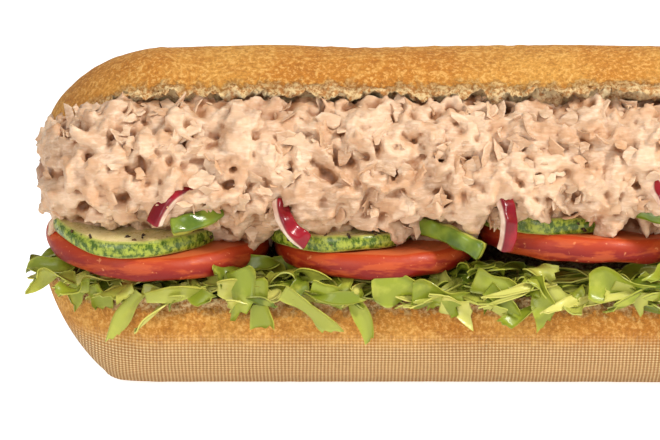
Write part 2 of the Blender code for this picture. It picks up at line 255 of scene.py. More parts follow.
def half_of_roll(name, upper, arc_points, face_points, look):
    """One half: an arc of crust closed by a flat face of crumb."""
    x = stations(HALF_LENGTH, END_REACH, 50, 270)
    full = fullness(x, HALF_LENGTH, END_REACH, END_POWER)[:, None]
    t = np.linspace(0, 1, arc_points)
    angle = (np.pi * (t - 0.12 * np.sin(2 * np.pi * t)))[None, :]
    c, s = squared(angle, DOME_POWER if upper else LOWER_POWER)
    width = HALF_WIDTH * full * swell(x, 5 if upper else 1)[:, None]
    inner = np.linspace(1, -1, face_points + 2)[1:-1]
    inner = np.sign(inner) * np.abs(inner) ** 0.6
    if upper:
        height = DOME_HEIGHT * np.sqrt(full) * swell(x, 9)[:, None]
        y, z = -width * c, height * s
        arc = np.stack([np.broadcast_to(x[:, None], y.shape), y, z], -1)
        face_y = width * inner[None, :]
        face = np.stack([np.broadcast_to(x[:, None], face_y.shape), face_y, 0 * face_y], -1)
    else:
        depth = fullness(x, HALF_LENGTH, KEEL_REACH, KEEL_POWER)[:, None]
        y = -width * c
        z = cut_height(y) - (cut_height(y) + 2 * MM) * depth * s
        z = np.where(z < 1.5 * MM, np.maximum((z + 2.5 * MM) ** 2 / (16 * MM), 0), z)
        arc = np.stack([np.broadcast_to(x[:, None], y.shape), y, z], -1)
        face_y = width * inner[None, :]
        face = np.stack([np.broadcast_to(x[:, None], face_y.shape), face_y, cut_height(face_y)], -1)
    points = np.concatenate([arc, face], 1)
    rows, cols = points.shape[:2]
    steps = np.linalg.norm(np.diff(arc, axis=1), axis=2)
    length = np.concatenate([np.zeros((rows, 1)), np.cumsum(steps, 1)], 1)
    length = np.concatenate([length, np.zeros((rows, face_points))], 1)
    edge = np.concatenate([np.minimum(s, 1) + 0 * y, np.zeros_like(face_y)], 1)
    crumb = np.concatenate([np.zeros_like(y), np.ones_like(face_y)], 1)
    flat = points.reshape(-1, 3)
    # Torn edge: the crumb by the cut juts and sinks, and the crust's rim wavers with it.
    near = np.exp(-((edge.ravel() * 9) ** 2)) * (full + 0 * y[:, :1] + np.zeros((rows, cols))).ravel()
    tear = lumps(flat, (5 * MM, 40 * MM, 40 * MM), 3) + 0.7 * lumps(flat, 1.6 * MM, 4)
    out = np.sign(-flat[:, 1])
    flat[:, 1] -= out * near * np.clip(tear, -0.6, 0.7) * 2.6 * MM
    ragged = (lumps(flat, 3.5 * MM, 5) * 2.4 + lumps(flat, 1.1 * MM, 12) * 1.2) * MM
    flat[:, 2] += near * ragged * (1 if upper else 0.6)
    deep = crumb.ravel() * (1 - np.abs(flat[:, 1]) / (HALF_WIDTH * 1.05))
    flat[:, 2] += crumb.ravel() * lumps(flat, 4 * MM, 6) * 1.6 * MM
    flat[:, 2] += (1 if upper else -1) * np.clip(deep, 0, 0.12) * 9 * MM
    # Baked crust: slow dents and a fine wrinkling towards the crown.
    crust = 1 - crumb.ravel()
    dents = lumps(flat, (26 * MM, 14 * MM, 14 * MM), 7) * 0.8 * MM
    wrinkle = lumps(flat, (3.2 * MM, 9 * MM, 9 * MM), 8) * 0.3 * MM
    size = 1 + crust * (dents + wrinkle * (edge.ravel() > 0.8)) / (30 * MM)
    flat[:, 1] *= size
    if upper:
        flat[:, 2] *= size
        tip_back = np.array(Matrix.Rotation(-MOUTH_ANGLE, 3, "X"))
        flat = flat @ tip_back.T + DOME_CENTRE
    flat = flat + SHIFT
    unrolled = np.stack([flat[:, 0], length.ravel(), flat[:, 2]], -1)
    values = {"crumb": crumb.ravel(), "edge": edge.ravel(), "unrolled": unrolled}
    made = mesh_object(name, flat, grid(rows, cols, True), look, values)
    tidy_points(made)
    return made


def tidy_points(obj):
    """Merges the points that meet at each tip and turns every face outwards."""
    bm = bmesh.new()
    bm.from_mesh(obj.data)
    bmesh.ops.remove_doubles(bm, verts=bm.verts, dist=0.02 * MM)
    bmesh.ops.recalc_face_normals(bm, faces=bm.faces)
    bm.to_mesh(obj.data)
    bm.free()


def crust_look(name, upper):
    """Golden crust over a pale crumb; the underside of the lower half carries the baking mesh's dimples."""
    look = Look(name, roughness=0.6)
    crumb, edge = look.attribute("crumb"), look.attribute("edge")
    x, along, height = look.apart(look.attribute("unrolled", "Vector"))
    patch, fine = look.noise(20 * MM, 4), look.noise(2.4 * MM, 7, rough=0.72)
    grain = look.noise(0.7 * MM, 4, rough=0.7)
    golden = patch.between(0.36, 0.66).mix(srgb(216, 152, 62), srgb(198, 124, 34))
    golden = (fine.between(0.5, 0.66) * 0.35).mix(golden, srgb(238, 182, 92))
    golden = (0.35 - fine.between(0.34, 0.5) * 0.35).mix(golden, srgb(170, 104, 40))
    golden = (grain.between(0.5, 0.62) * 0.55).mix(golden, srgb(248, 198, 116))
    golden = (0.45 - grain.between(0.36, 0.5) * 0.45).mix(golden, srgb(150, 88, 30))
    rim = 1 - edge.between(0.03, 0.09 + fine.between(0.35, 0.65) * 0.16)
    golden = (rim * 0.85).mix(golden, grain.between(0.42, 0.56).mix(srgb(206, 142, 78), srgb(255, 224, 166)))
    relief = fine * 0.8 + grain * 0.9 + rim * fine * 1.5
    if upper:
        creases = look.noise(6 * MM, 5, look.stretched(look.place, 1.6, 0.8, 0.8), rough=0.6)
        crown = edge.between(0.9, 1.0)
        # Painted highlight: the crown is painted paler, where the light falls along the top. Painted shade: its
        # creases are painted darker.
        golden = (crown * 0.6).mix(golden, srgb(234, 196, 146))
        golden = (crown * creases.between(0.5, 0.62) * 0.5).mix(golden, srgb(186, 134, 76))
        relief = relief + crown * creases * 1.2
        depth = 1.1 * MM
    else:
        pitch = 2 * math.pi / (2.0 * MM)
        wobble = look.noise(12 * MM, 2) * 2.5
        rows = (x * pitch + along * pitch + wobble).sine() * (x * pitch - along * pitch + wobble).sine()
        below = 1 - height.between(11 * MM, 19 * MM)
        dimple = rows.between(-0.5, 0.6)
        dim = dimple.mix(srgb(180, 124, 66), srgb(255, 224, 168))
        golden = (below * 0.85).mix(golden, dim)
        relief = relief * (1 - below * 0.5) + below * dimple * 0.6
        depth = 1.1 * MM
    pores = look.noise(1.8 * MM, 6, rough=0.75)
    inside = pores.between(0.36, 0.54).mix(srgb(196, 132, 74), srgb(255, 228, 176))
    look.colour((crumb.between(0.05, 0.6)).mix(golden, inside))
    look.finish(0.78 - fine * 0.2 + crumb * 0.1)
    look.bump(relief + crumb * pores * 2.5, depth)
    return look


top_half = half_of_roll("bread_top", True, 130, 34, crust_look("bread_top", True))
bottom_half = half_of_roll("bread_bottom", False, 120, 26, crust_look("bread_bottom", False))


# ---------------------------------------------------------------- The hinge at the back
# Uncut crust folds where the roll opens, with a shallow crease on either side of the fold.
def hinge_fold(look):
    half_length = HALF_LENGTH - 19 * MM
    x = stations(half_length, 24 * MM, 20, 120)
    full = fullness(x, half_length, 24 * MM, 2)[:, None]
    plan = fullness(x, HALF_LENGTH, END_REACH, END_POWER)[:, None]
    angle = np.linspace(0, 2 * np.pi, 49)[None, :-1]
    y = 31 * MM * plan + 7.5 * MM * full * np.cos(angle)
    z = 36.4 * MM + 13.4 * MM * full * np.sin(angle) + 0 * y
    flat = np.stack([np.broadcast_to(x[:, None], y.shape), y, z], -1).reshape(-1, 3)
    flat[:, 1] += lumps(flat, (20 * MM, 6 * MM, 6 * MM), 9) * 1.2 * MM
    flat = flat + SHIFT
    unrolled = np.stack([flat[:, 0], flat[:, 2], flat[:, 2]], -1)
    values = {"crumb": np.zeros(len(flat)), "edge": np.full(len(flat), 0.5), "unrolled": unrolled}
    made = mesh_object("bread_hinge", flat, grid(len(x), 48, True), look, values)
    tidy_points(made)
    return made


hinge = hinge_fold(crust_look("bread_hinge", True))
for piece in (top_half, bottom_half, hinge):
    place(piece, ["bread_roll"])


# ---------------------------------------------------------------- Tomato slices
# Thick discs that follow the bed of lettuce, with a bare cut face above and a shiny skin round the rim.
def bed_height(x, y):
    """Top of the lettuce bed, on which the slices lie."""
    mound = np.exp(-(((x - 18 * MM) / (38 * MM)) ** 2))
    crest = 35.2 * MM + 1.8 * MM * mound + 4.5 * MM * (np.abs(x) / HALF_LENGTH) ** 8
    t = (y + 12 * MM) / (31 * MM)
    edge = np.where(t < 0, 33.2 * MM + 3.2 * MM * mound, 34.6 * MM)
    return crest + (edge - crest) * t * t


TOMATO_THICKNESS, CUCUMBER_THICKNESS = 6.8 * MM, 4.6 * MM
# Each tomato slice's x, y, radius and the height to which its left edge is lifted.
TOMATOES = np.array([
    (-110, -11.5, 32.1, 0), (-47.3, -12.5, 29.7, 0), (11.6, -11, 31.3, 4.3),
    (71, -12.5, 29.5, 4.2), (115.3, -14.8, 26.9, 9.4),
])


def turned_slice(name, centre, thickness, lift, lobes, rim, look, seed):
    """A slice with its points in rings, laid on the bed and lifted at its left edge."""
    x0, y0, radius = centre
    rings, steps = 16, 120
    share = np.linspace(0, 1, rings)[1:] ** 0.6
    turn = np.linspace(0.0, np.pi, 15)[1:-1]
    flat_r = radius - rim
    out = np.concatenate([share * flat_r, flat_r + rim * np.sin(turn), share[::-1] * flat_r])
    up = np.concatenate([np.ones(rings - 1), 0.5 + 0.5 * np.cos(turn), np.zeros(rings - 1)])
    angle = np.linspace(0, 2 * np.pi, steps, endpoint=False)
    out, up, angle = out[:, None], up[:, None], angle[None, :]
    lobe = 1 + 0.012 * np.cos(lobes * angle + radius / MM) - 0.012
    x, y = x0 + out * lobe * np.cos(angle), y0 + out * lobe * np.sin(angle)
    base = bed_height(x, y) + lift(x)
    flat = np.stack([x, y, base + up * thickness + 0 * x], -1).reshape(-1, 3)
    skin = np.concatenate([np.zeros(rings - 1), np.ones(13), np.zeros(rings - 1)])[:, None] + 0 * x
    flat[:, 2] += lumps(flat, 9 * MM, seed) * 0.7 * MM
    centre_points = [[x0, y0, flat[0, 2]], [x0, y0, flat[-1, 2]]]
    last = (out.shape[0] - 1) * steps
    k = np.arange(steps)
    caps = np.stack([np.full(steps, len(flat)), k, (k + 1) % steps], -1).tolist()
    caps += np.stack([np.full(steps, len(flat) + 1), last + (k + 1) % steps, last + k], -1).tolist()
    disc = np.stack([out / radius * np.cos(angle), out / radius * np.sin(angle), up + 0 * x], -1)
    values = {
        "skin": np.append(skin.ravel(), [0, 0]),
        "disc": np.concatenate([disc.reshape(-1, 3), [[0, 0, 1], [0, 0, 0]]]),
    }
    flat = np.concatenate([flat, centre_points]) + SHIFT
    made = mesh_object(name, flat, grid(out.shape[0], steps, True).tolist() + caps, look, values)
    tidy_points(made)
    return made


def tomato_lift(index, x):
    x0, _, radius, lift = TOMATOES[index] * MM
    return lift * np.clip((x0 + radius - x) / (2 * radius), 0, 1)


def tomato_look():
    """Red skin with fine streaks along the rim; orange-red flesh with lighter walls and wet seed hollows."""
    look = Look("tomato", roughness=0.45, scatter=0.0, coat=0.03)
    skin = look.attribute("skin")
    disc = look.attribute("disc", "Vector")
    across, depth, up = look.apart(disc)
    radius = (across * across + depth * depth) ** 0.5
    streak = look.noise(2.5 * MM, 5, look.stretched(look.place, 0.35, 0.35, 1.6), rough=0.6)
    patch = look.noise(12 * MM, 3)
    flesh = streak.between(0.35, 0.7).mix(srgb(150, 38, 18), srgb(206, 92, 48))
    flesh = (patch.between(0.4, 0.7) * 0.6).mix(flesh, srgb(214, 112, 56))
    wall = radius.between(0.78, 0.86)
    gel = look.noise(7 * MM, 2).between(0.48, 0.56) * (1 - wall)
    face = gel.mix(srgb(198, 96, 52), srgb(176, 84, 30))
    rim = up.between(0.3, 1.0).mix(srgb(130, 16, 5), srgb(178, 58, 16))
    rim = (streak.between(0.47, 0.6) * 0.5).mix(rim, srgb(206, 92, 36))
    rim = (look.noise(0.8 * MM, 2).between(0.66, 0.74) * 0.5).mix(rim, srgb(232, 150, 96))
    look.colour(skin.mix(face, rim))
    look.finish(0.36 + streak * 0.3)
    look.bump(streak * 0.6 + look.noise(0.9 * MM, 3) * 0.3, 0.3 * MM)
    return look


tomato = tomato_look()
for k, (x, y, radius, lift) in enumerate(TOMATOES * MM):
    lifted = lambda at, k=k: tomato_lift(k, at) + 0.3 * MM
    centre = (x, y, radius)
    disc = turned_slice(f"tomato_{k + 1}", centre, TOMATO_THICKNESS, lifted, 5, 2.4 * MM, tomato, 20 + k)
    place(disc, [f"tomato_slice_{k + 1}"])


# ---------------------------------------------------------------- Cucumber slices
# Thinner discs on the tomatoes: wet pale flesh with a ring of seeds, and a mottled green rind.
CUCUMBERS = np.array(
    [(-115.8, -19.2, 24), (-57.6, -17.3, 21.2), (0.8, -16, 22), (56, -19, 21.4), (107, -18.5, 22.2)]
)


def cucumber_look():
    look = Look("cucumber", roughness=0.3, scatter=0.15, coat=0.25, radius=(1, 0.9, 0.4))
    skin = look.attribute("skin")
    across, depth, up = look.apart(look.attribute("disc", "Vector"))
    radius = (across * across + depth * depth) ** 0.5
    stipple = look.noise(0.9 * MM, 4, look.stretched(look.place, 1, 1, 0.7), rough=0.7)
    broad = look.noise(6 * MM, 2)
    rind = stipple.between(0.42, 0.62).mix(srgb(68, 94, 14), srgb(164, 174, 58))
    rind = (broad.between(0.5, 0.75) * 0.35).mix(rind, srgb(170, 178, 76))
    rind = (up - 0.5).magnitude().between(0.34, 0.5).mix(rind, srgb(176, 176, 92))
    seeds = look.noise(3.2 * MM, 1, look.stretched(look.place, 1, 1, 0.5)).between(0.56, 0.6)
    core = 1 - radius.between(0.45, 0.62)
    pulp = look.noise(5 * MM, 4).between(0.35, 0.7).mix(srgb(200, 186, 120), srgb(230, 214, 158))
    pulp = (core * seeds * 0.7).mix(pulp, srgb(238, 224, 180))
    pulp = (radius.between(0.9, 0.99) * 0.6).mix(pulp, srgb(180, 178, 92))
    look.colour(skin.mix(pulp, rind))
    look.finish(0.16 + stipple * 0.25)
    look.bump(stipple * 0.35 + core * seeds * 0.8, 0.3 * MM)
    return look


cucumber = cucumber_look()
for k, (x, y, radius) in enumerate(CUCUMBERS * MM):
    lifted = lambda at, k=k: tomato_lift(k, at) + TOMATO_THICKNESS + 0.6 * MM
    centre = (x, y, radius)
    disc = turned_slice(f"cucumber_{k + 1}", centre, CUCUMBER_THICKNESS, lifted, 3, 1.1 * MM, cucumber, 40 + k)
    place(disc, [f"cucumber_slice_{k + 1}"])


# ---------------------------------------------------------------- Pepper and onion strips
# Bowed bars whose outer face is skin and whose other faces are cut flesh. Each has its two ends, how far
# its middle bows, and the direction that its skin faces.
PEPPERS = [
    ((-104.8, -42, 49.3), (-90.6, -27.5, 54.2), (3.4, -3.2, 0), (0.5, -0.8, 0.5)),
    ((-37, -27, 48), (-18.8, -44, 42.6), (1, -2.5, 0.5), (-0.75, -1, 0.15)),
    ((9.5, -26.5, 55.4), (44, -40, 48.4), (1.5, -3, 0.5), (-0.3, -1, 0.25)),
    ((67, -41, 46), (84, -29.5, 51), (3.4, -3.4, 0), (0.5, -1, 0.4)),
    ((113, -29, 56.6), (134, -39, 48.4), (2, -4, 1), (-0.3, -1, 0.2)),
]
ONIONS = [
    ((-109.4, -43, 50), (-96.6, -39.6, 61.6), (-1.8, -1.4, 1.8), (-0.55, -1, 0.55)),
    ((-74.5, -40, 56), (-67.4, -43.2, 45.2), (-1.6, -2.4, 0), (0.8, -1, 0.1)),
    ((-14.2, -40.5, 59.5), (-12.6, -45, 43.4), (1.8, -2.6, 0.5), (0.8, -1, 0.1)),
    ((29.5, -40.5, 60.6), (37, -44.4, 52.6), (-2, -2, 0.8), (0.7, -1, 0.2)),
    ((88, -40, 59), (93.5, -43.2, 48.5), (2.4, -2.2, 0.6), (0.4, -1, 0.15)),
    ((106, -41.4, 51), (97.5, -37.6, 62), (3, -2.8, 2.4), (0.5, -1, 0.5)),
]


def bent_strip(name, strip, width, thickness, look, seed):
    start, end, bow, facing = (np.array(v, float) for v in strip)
    start, end, bow = start * MM, end * MM, bow * MM
    steps, around = 60, 32
    turn = np.linspace(0, 2 * np.pi, around, endpoint=False)
    u, v = squared(turn, 4)
    rows, skins = [], []
    for k in range(steps + 1):
        t = k / steps
        centre = start + (end - start) * t + bow * 4 * t * (1 - t)
        tangent = end - start + bow * 4 * (1 - 2 * t)
        tangent /= np.linalg.norm(tangent)
        out = facing - tangent * (facing @ tangent)
        out /= np.linalg.norm(out)
        across = np.cross(tangent, out)
        blunt = min(1, 0.6 + 40 * min(t, 1 - t))
        ring = centre + np.outer(u * width / 2 * blunt, across) + np.outer(v * thickness / 2 * blunt, out)
        rows.append(ring)
        skins.append(v)
    flat = np.concatenate(rows + [[start, end]])
    flat += (lumps(flat, 4 * MM, seed) * 0.7 * MM)[:, None] * np.array([0.4, -1, 1])
    k = np.arange(around)
    last = steps * around
    caps = np.stack([np.full(around, len(flat) - 2), (k + 1) % around, k], -1).tolist()
    caps += np.stack([np.full(around, len(flat) - 1), last + k, last + (k + 1) % around], -1).tolist()
    values = {"skin": np.append(np.concatenate(skins), [0, 0])}
    made = mesh_object(name, flat + SHIFT, grid(steps + 1, around, True).tolist() + caps, look, values)
    tidy_points(made)
    return made


def strip_look(name, skin_dark, skin_light, flesh_dark, flesh_light, coat):
    look = Look(name, roughness=0.3, scatter=0.05, coat=coat)
    skin = look.attribute("skin").between(0.25, 0.7)
    patch, fine = look.noise(5 * MM, 3), look.noise(1.2 * MM, 4)
    outer = patch.between(0.35, 0.65).mix(skin_dark, skin_light)
    inner = (patch * 0.6 + fine * 0.4).between(0.35, 0.62).mix(flesh_dark, flesh_light)
    look.colour(skin.mix(inner, outer))
    look.finish(0.3 - skin * 0.12 + fine * 0.1)
    look.bump(fine, 0.15 * MM)
    return look


pepper_skin = srgb(74, 98, 20), srgb(126, 144, 44)
pepper = strip_look("green_pepper", *pepper_skin, srgb(160, 168, 58), srgb(196, 198, 96), 0.3)
for k, strip in enumerate(PEPPERS):
    made = bent_strip(f"green_pepper_{k + 1}", strip, 4.9 * MM, 4.2 * MM, pepper, 60 + k)
    place(made, [f"green_pepper_strip_{k + 1}"])
onion_skin = srgb(112, 6, 18), srgb(150, 16, 32)
onion = strip_look("red_onion", *onion_skin, srgb(214, 172, 150), srgb(244, 222, 200), 0.12)
for k, strip in enumerate(ONIONS):
    made = bent_strip(f"red_onion_{k + 1}", strip, 4.4 * MM, 3.2 * MM, onion, 70 + k)
    place(made, [f"red_onion_strip_{k + 1}"])

# ---------------------------------------------------------------- Tuna salad
# Hundreds of chunky flakes packed over a smaller heap and fused, so the crevices between them are real.
TUNA_CENTRE = np.array([0, -15.5, 60]) * MM
TUNA_HALF_DEPTH, TUNA_HALF_HEIGHT = 26.5 * MM, 19.5 * MM
TUNA_HALF_LENGTH, TUNA_REACH = 144 * MM, 26 * MM
TUNA_LEAN = np.array(Matrix.Rotation(-math.radians(14), 3, "X"))
TUNA_POWER, TUNA_END_POWER = 2.7, 1.9


def heap_point(x, angle, share):
    """A point of the heap at x and at an angle round its section, share of the way out to its skin."""
    full = fullness(x, TUNA_HALF_LENGTH, TUNA_REACH, TUNA_END_POWER)
    c, s = squared(angle, TUNA_POWER)
    outward = np.stack([0 * x, TUNA_HALF_DEPTH * c * full, TUNA_HALF_HEIGHT * s * full], -1)
    return TUNA_CENTRE + np.stack([x, 0 * x, 0 * x], -1) + share * (outward @ TUNA_LEAN.T)


def chunk(seed):
    """A block of fish: a coarse ball squared and roughened into an angular flake about one unit long."""
    bm = bmesh.new()
    bmesh.ops.create_icosphere(bm, subdivisions=2, radius=1)
    for vert in bm.verts:
        p = vert.co.copy()
        size = 1 / max(abs(p.x), abs(p.y), abs(p.z)) ** 0.85
        broad, fine = noise.noise(p * 1.2 + Vector((seed, 0, 0))), noise.noise(p * 2.9 + Vector((0, seed, 0)))
        vert.co = p * size * (1 + 0.55 * broad + 0.3 * fine)
    points = np.array([v.co for v in bm.verts])
    faces = np.array([[v.index for v in f.verts] for f in bm.faces])
    bm.free()
    return points, faces


def settle(points):
    """Rests the heap on the slices below it and draws its foot back from the mouth."""
    x, y, z = points.T.copy()
    foot = np.clip((58 * MM - z) / (13 * MM), 0, 1) ** 1.3 * np.clip((-20 * MM - y) / (12 * MM), 0, 1)
    y = y + foot * 9 * MM
    top = bed_height(x, y) + TOMATO_THICKNESS * 0.9
    for k, (x0, y0, radius, _) in enumerate(TOMATOES * MM):
        inside = np.hypot(x - x0, y - y0) < radius
        top = np.where(inside, bed_height(x, y) + TOMATO_THICKNESS + tomato_lift(k, x), top)
    for k, (x0, y0, radius) in enumerate(CUCUMBERS * MM):
        inside = np.hypot(x - x0, y - y0) < radius
        covered = bed_height(x, y) + TOMATO_THICKNESS + CUCUMBER_THICKNESS + tomato_lift(k, x)
        top = np.where(inside, covered + 1.1 * MM, top)
    return np.stack([x, y, np.maximum(z, top)], -1)


SECTION_ANGLE = np.linspace(0, 4 * np.pi, 1600)
section_y, section_z = squared(SECTION_ANGLE, TUNA_POWER)
section_step = np.hypot(np.diff(section_y) * TUNA_HALF_DEPTH, np.diff(section_z) * TUNA_HALF_HEIGHT)
SECTION_LENGTH = np.concatenate([[0], np.cumsum(section_step)])


def section_angle(low, high):
    """A random angle round the heap, even along its skin, between two shares of pi."""
    ends = np.interp(np.array([low, high]) * np.pi, SECTION_ANGLE, SECTION_LENGTH)
    return np.interp(random.uniform(*ends), SECTION_LENGTH, SECTION_ANGLE)


def tuna_flakes(count):
    """Every flake's points and faces, turned and scattered over the heap's shown skin."""
    kinds = [chunk(7.7 * k) for k in range(12)]
    verts, faces, start = [], [], 0
    for k in range(count):
        x = random.uniform(-1, 1) * (TUNA_HALF_LENGTH - 3 * MM)
        angle = section_angle(0.6, 1.6)
        if abs(x) > TUNA_HALF_LENGTH - 18 * MM:
            angle = section_angle(0.1, 2.1)
        size = min(1.7 + random.gamma(2.0, 1.05), 7) * MM
        clump = noise.noise(Vector((x / (9 * MM), angle * 2.4, 1.0)))
        share = random.uniform(0.87, 0.96) + 0.12 * clump - 0.3 * (size - 2 * MM) / (20 * MM)
        centre = settle(heap_point(np.array([x]), np.array([angle]), share))[0]
        turn = Matrix.Rotation(random.uniform(-3.1, 3.1), 3, "Y")
        turn = turn @ Matrix.Rotation(random.uniform(0, 6.28), 3, "Z")
        turn = turn @ Matrix.Rotation(random.uniform(-0.9, 0.9), 3, "X")
        shape = np.array([1.0, random.uniform(0.5, 0.85), random.uniform(0.22, 0.5)]) * size
        points, tris = kinds[random.integers(12)]
        verts.append((points * shape) @ np.array(turn).T + centre)
        faces.append(tris + start)
        start += len(points)
    return np.concatenate(verts), np.concatenate(faces)


def tuna_core():
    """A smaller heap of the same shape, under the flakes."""
    sections, around = 90, 64
    x = np.linspace(-1, 1, sections) * TUNA_HALF_LENGTH
    walked = np.linspace(0, SECTION_LENGTH[-1] / 2, around, endpoint=False)
    angle = np.interp(walked, SECTION_LENGTH, SECTION_ANGLE)
    grid_x, grid_a = np.meshgrid(x, angle, indexing="ij")
    return settle(heap_point(grid_x.ravel(), grid_a.ravel(), 0.885)), grid(sections, around, True)


def tuna_look():
    look = Look("tuna", roughness=0.5, scatter=0.15, radius=(1, 0.6, 0.35))
    hollow_shade = look.attribute("hollow_shade")
    warm, patch = look.attribute("warm"), look.noise(9 * MM, 3)
    fibre = look.noise(1.1 * MM, 4, look.stretched(look.place, 0.5, 1, 1.8), rough=0.65)
    flesh = patch.between(0.32, 0.68).mix(srgb(196, 156, 122), srgb(222, 186, 152))
    flesh = (fibre.between(0.42, 0.7) * 0.5).mix(flesh, srgb(244, 218, 190))
    flesh = (warm.between(0.5, 0.9) * 0.5).mix(flesh, srgb(198, 146, 102))
    # Painted shade: crevices and the shaded parts of the heap are mixed towards dark browns.
    flesh = (hollow_shade.between(0.2, 0.7) * 0.9).mix(flesh, srgb(150, 98, 60))
    flesh = (hollow_shade.between(0.6, 1.0) * 0.7).mix(flesh, srgb(96, 54, 26))
    look.colour(flesh)
    look.finish(0.55 - fibre * 0.25)
    look.bump(fibre, 0.35 * MM)
    return look


def fused(name, parts, voxel, look):
    """All the closed shells as one body, by a voxel remesh."""
    verts = np.concatenate([p for p, _ in parts])
    start, faces = 0, []
    for points, polygons in parts:
        faces += (np.asarray(polygons) + start).tolist()
        start += len(points)
    mesh = bpy.data.meshes.new(name)
    mesh.from_pydata(verts.tolist(), [], faces)
    obj = bpy.data.objects.new(name, mesh)
    bpy.context.scene.collection.objects.link(obj)
    step = obj.modifiers.new("fuse", "REMESH")
    step.mode = "VOXEL"
    step.voxel_size = voxel
    step.use_smooth_shade = True
    bpy.context.view_layer.update()
    done = bpy.data.meshes.new_from_object(obj.evaluated_get(bpy.context.evaluated_depsgraph_get()))
    obj.modifiers.clear()
    obj.data = done
    done.materials.clear()
    done.materials.append(look.material)
    return obj


def points_of(mesh):
    flat = np.empty(len(mesh.vertices) * 3)
    mesh.vertices.foreach_get("co", flat)
    return flat.reshape(-1, 3)


def neighbour_mean(mesh, values, rounds):
    """Values spread over each point's neighbours, a few times over."""
    edges = np.empty(len(mesh.edges) * 2, int)
    mesh.edges.foreach_get("vertices", edges)
    a, b = edges[0::2], edges[1::2]
    degree = np.bincount(edges, minlength=len(values)).astype(float)[:, None]
    for _ in range(rounds):
        total = np.zeros_like(values)
        for axis in range(values.shape[1]):
            total[:, axis] = np.bincount(a, values[b, axis], len(values))
            total[:, axis] += np.bincount(b, values[a, axis], len(values))
        values = 0.5 * values + 0.5 * total / degree
    return values


flake_count = 2600
shells = [(points + SHIFT, faces) for points, faces in (tuna_core(), tuna_flakes(flake_count))]
tuna = fused("tuna_salad_heap", shells, (0.92) * MM, tuna_look())
tuna_points = points_of(tuna.data)
normals = np.empty(len(tuna_points) * 3)
tuna.data.vertices.foreach_get("normal", normals)
normals = normals.reshape(-1, 3)
smooth = neighbour_mean(tuna.data, tuna_points, 14)
# How far each point lies in a crevice, the ground of the painted shade.
hollow_shade = ((smooth - tuna_points) * normals).sum(1) / (0.55 * MM)
section = (tuna_points - SHIFT - TUNA_CENTRE) @ TUNA_LEAN
across = np.abs(section[:, 1] / TUNA_HALF_DEPTH) ** TUNA_POWER
upward = np.abs(section[:, 2] / TUNA_HALF_HEIGHT) ** TUNA_POWER
full = fullness(section[:, 0], TUNA_HALF_LENGTH, TUNA_REACH, TUNA_END_POWER)
depth = 1 - (across + upward) ** (1 / TUNA_POWER) / np.maximum(full, 0.3)
# Painted shade: crevices, what lies deep in the heap, and what lies in the shade of the roll are painted browner.
under = np.clip((section[:, 2] / TUNA_HALF_HEIGHT - 0.68) * 1.6, 0, 0.45)
deep = np.clip((depth - 0.08) * 3.2, -0.1, 0.5)
add_values(tuna.data, "hollow_shade", np.clip(0.16 + 0.55 * hollow_shade + under + deep, 0, 1))
add_values(tuna.data, "warm", lumps(tuna_points, 6 * MM, 30) + 0.5)
rough = lumps(tuna_points, 1.5 * MM, 31) * 0.8 * MM
tuna.data.vertices.foreach_set("co", (tuna_points + normals * rough[:, None]).ravel())
place(tuna, ["tuna_salad"])


def torn_flakes(look, count):
    """Thin torn flakes with crisp rims, lying on the heap in one piece."""
    outline = 10
    each = 3 * outline + 2
    top = np.arange(outline)
    rim, low = top + outline, top + 2 * outline
    high_tip, low_tip = np.full(outline, each - 2), np.full(outline, each - 1)
    after = lambda ring: np.roll(ring, -1)
    shell = [(top, rim, after(rim), after(top)), (rim, low, after(low), after(rim))]
    shell += [(top, after(top), high_tip), (after(low), low, low_tip)]
    verts, faces, warm = [], [], []
    for n in range(count):
        x = random.uniform(-1, 1) * (TUNA_HALF_LENGTH - 3 * MM)
        near_tip = abs(x) >= TUNA_HALF_LENGTH - 18 * MM
        angle = section_angle(0.1, 2.1) if near_tip else section_angle(0.6, 1.5)
        place_at = settle(heap_point(np.array([x]), np.array([angle]), random.uniform(0.97, 1.03)))[0]
        spine = TUNA_CENTRE * [0, 1, 1] + [np.clip(x, -118 * MM, 118 * MM), 0, 0]
        out = Vector(place_at - spine).normalized()
        tilt = Matrix.Rotation(random.normal(0, 0.55), 3, "X")
        tilt = tilt @ Matrix.Rotation(random.normal(0, 0.55), 3, "Y")
        spin = Matrix.Rotation(random.uniform(0, 6.28), 3, "Z")
        turn = np.array(out.to_track_quat("Z", "Y").to_matrix() @ tilt @ spin)
        size = random.uniform(1.4, 4.0) * MM
        angles = 2 * np.pi * (top + random.uniform(-0.3, 0.3, outline)) / outline
        reach = random.uniform(0.45, 1.2, outline)
        flat = [np.cos(angles) * reach * 1.35, np.sin(angles) * reach * 0.8, np.zeros(outline)]
        edge = np.stack(flat, -1) * size
        thick = random.uniform(0.14, 0.38) * MM
        bend = random.uniform(-0.35, 0.35) / size
        up = np.array([0, 0, thick])
        points = np.concatenate([edge * 0.86 + up, edge, edge * 0.86 - up, [up * 1.3], [-up * 1.3]])
        twist = 0.3 * random.normal() / size
        points[:, 2] += bend * points[:, 0] ** 2 + twist * points[:, 0] * points[:, 1]
        verts.append(points @ turn.T + place_at)
        for corners in shell:
            faces += (np.stack(corners, -1) + each * n).tolist()
        warm.append(np.full(each, random.uniform(0, 1)))
    verts = np.concatenate(verts) + SHIFT
    # Each loose flake carries a slight, even painted shade.
    values = {"hollow_shade": np.full(len(verts), 0.05), "warm": np.concatenate(warm)}
    return mesh_object("tuna_flakes", verts, faces, look, values, smooth=False)


place(torn_flakes(tuna_look(), 680), ["tuna_salad"])

# ---------------------------------------------------------------- Shredded lettuce
# Thin curled ribbons: most lie along the bed or fan out of the mouth and droop over the roll's front edge.
RIBBON_STEPS, RIBBON_ACROSS = 16, 5


